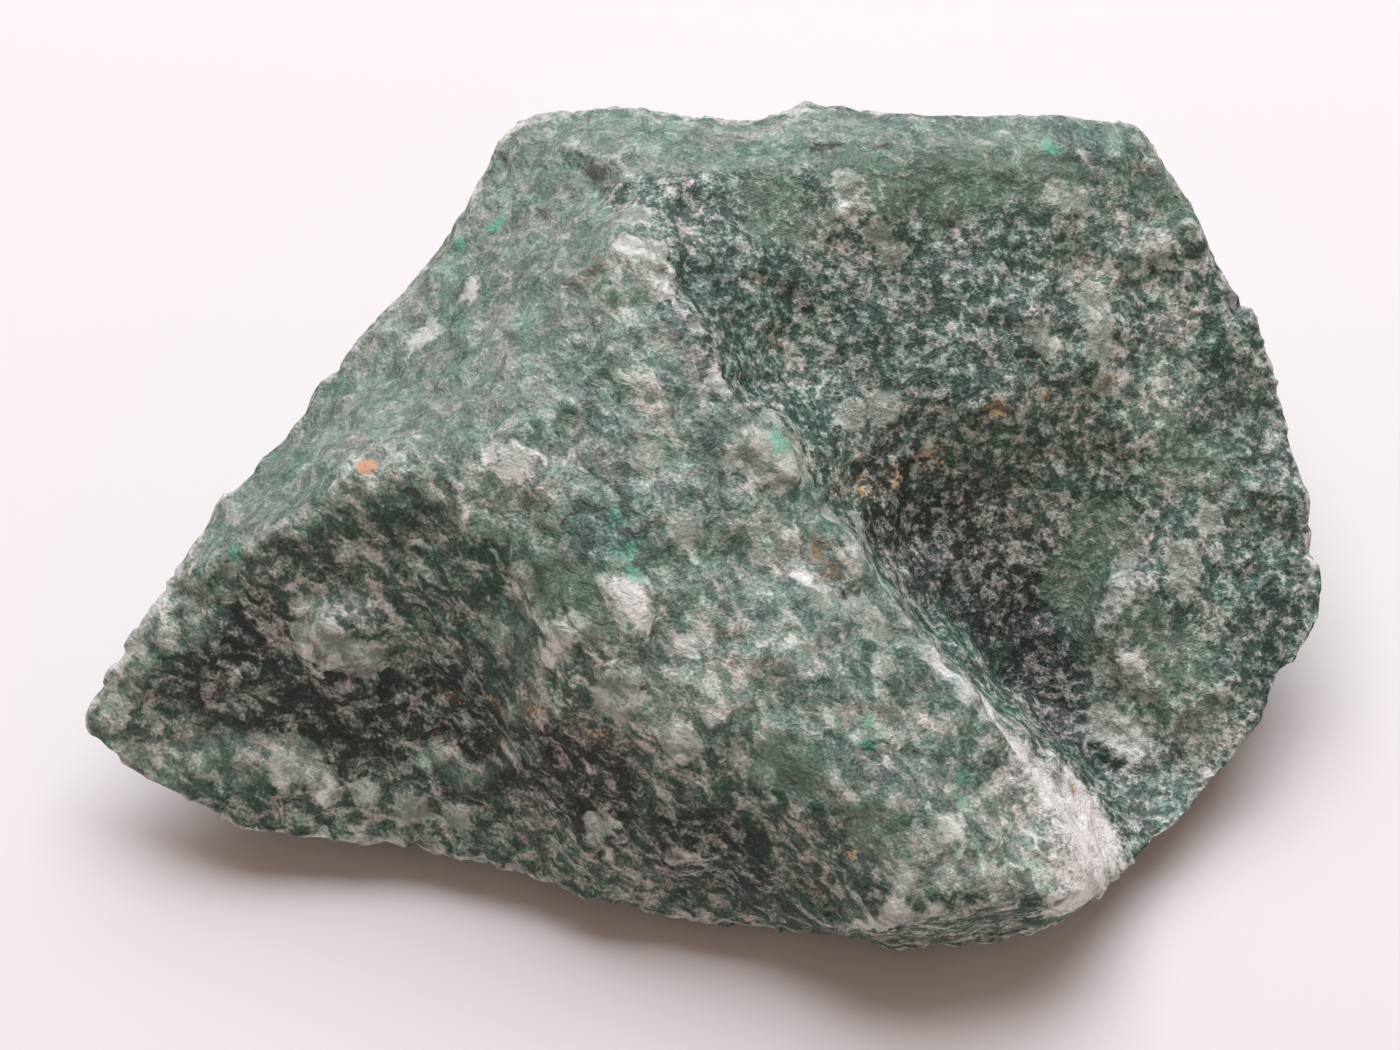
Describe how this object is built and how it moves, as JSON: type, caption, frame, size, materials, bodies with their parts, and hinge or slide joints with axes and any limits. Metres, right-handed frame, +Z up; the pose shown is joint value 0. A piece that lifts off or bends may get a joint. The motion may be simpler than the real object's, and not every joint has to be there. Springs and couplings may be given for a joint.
{
  "type": "raw aventurine stone",
  "caption": "Rough hand-sized lump of green aventurine quartzite, broken on all sides, with a sharp ridge and one flat face to rest on.",
  "frame": {"origin": "middle of the stone's outer box, at the height of the flat face that it rests on", "axes": "+X from the low pointed tip towards the broad rounded end, +Y towards the tall back wall, +Z up"},
  "size_m": [0.061, 0.045, 0.022],
  "materials": {
    "aventurine": "rough broken quartzite, green with pale grains and small mica glints, no polish"
  },
  "bodies": {
    "root": {"raw_aventurine": "aventurine"}
  },
  "joints": []
}
